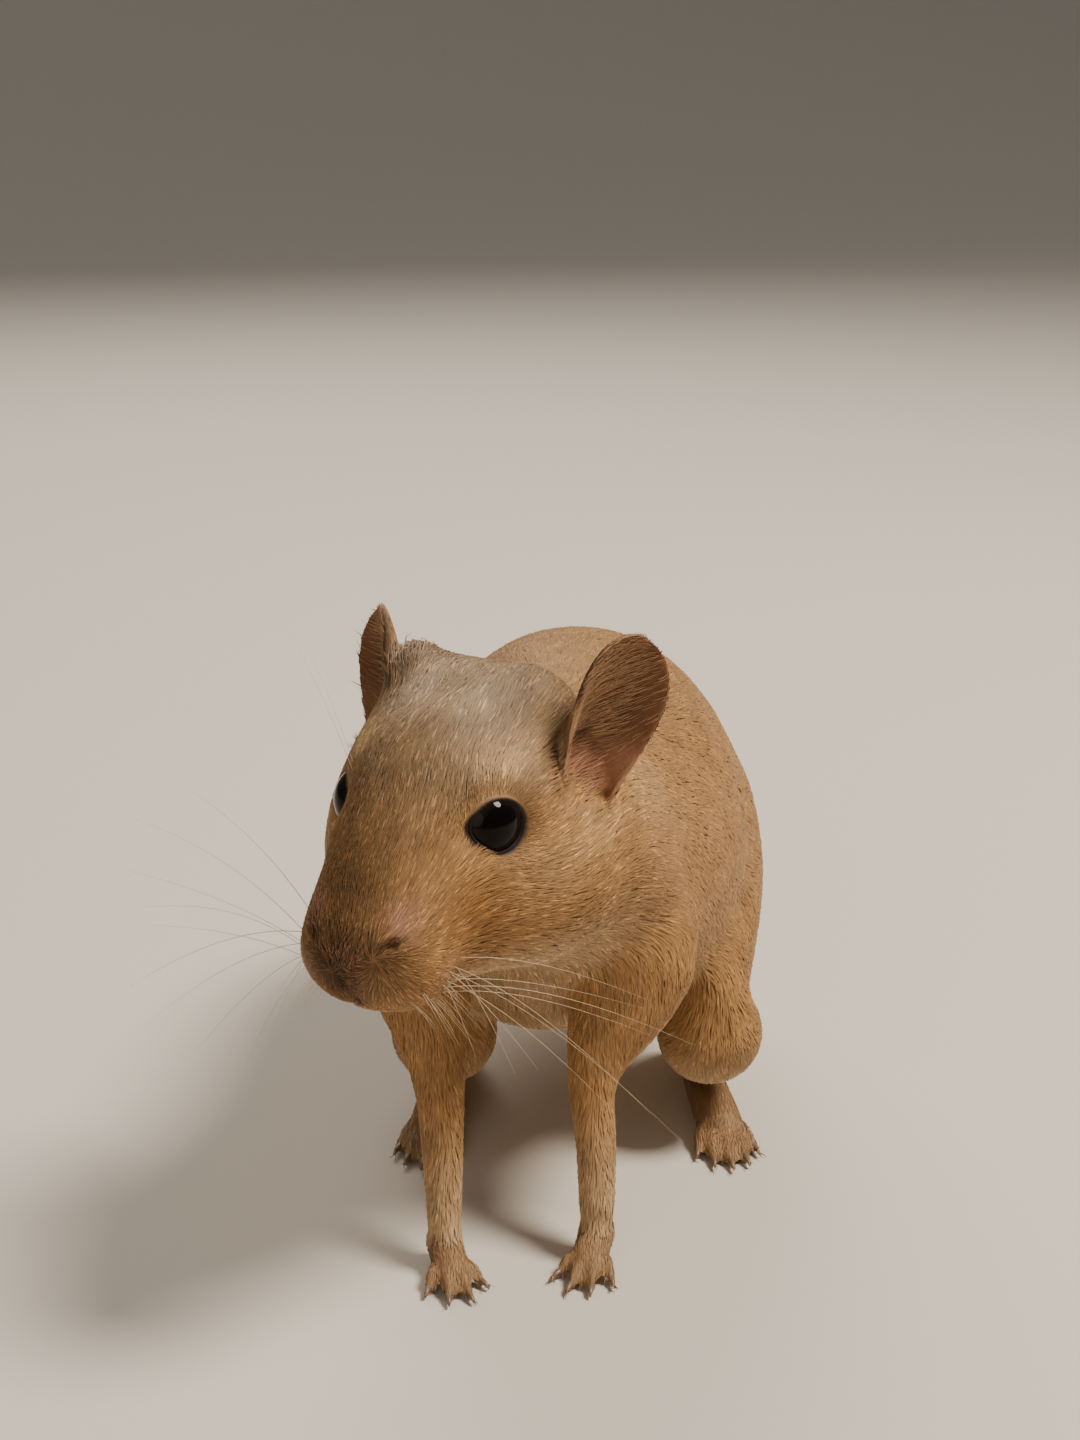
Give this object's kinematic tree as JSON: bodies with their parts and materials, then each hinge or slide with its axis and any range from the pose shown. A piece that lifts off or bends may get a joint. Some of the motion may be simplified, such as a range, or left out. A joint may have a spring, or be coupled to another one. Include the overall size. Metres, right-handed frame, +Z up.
{
  "type": "gerbil",
  "caption": "Life-size gerbil standing on all fours, head up and turned to its right, with a short fawn coat, dark eyes and a long tail tufted at its end.",
  "frame": {"origin": "centre of the bounding box seen from above, on the floor", "axes": "+Z up; +Y along the body from head to tail, the longest side; +X towards the animal's left"},
  "size_m": [0.0586, 0.1876, 0.0646],
  "materials": {
    "coat": "matt short fur",
    "ear": "matt skin with fine hair",
    "paw": "matt skin with fine hair",
    "tail": "matt short fur",
    "eye": "wet gloss"
  },
  "bodies": {
    "root": {"torso": "coat", "neck": "coat", "head": "coat", "eye_left": "eye", "ear_left": "ear", "foreleg_left": "coat", "forepaw_left": "paw", "thigh_left": "coat", "shank_left": "coat", "hindfoot_left": "paw", "eye_right": "eye", "ear_right": "ear", "foreleg_right": "coat", "forepaw_right": "paw", "thigh_right": "coat", "shank_right": "coat", "hindfoot_right": "paw", "tail_root": "tail", "tail_middle": "tail", "tail_end": "tail", "tail_tuft": "tail"}
  },
  "joints": []
}
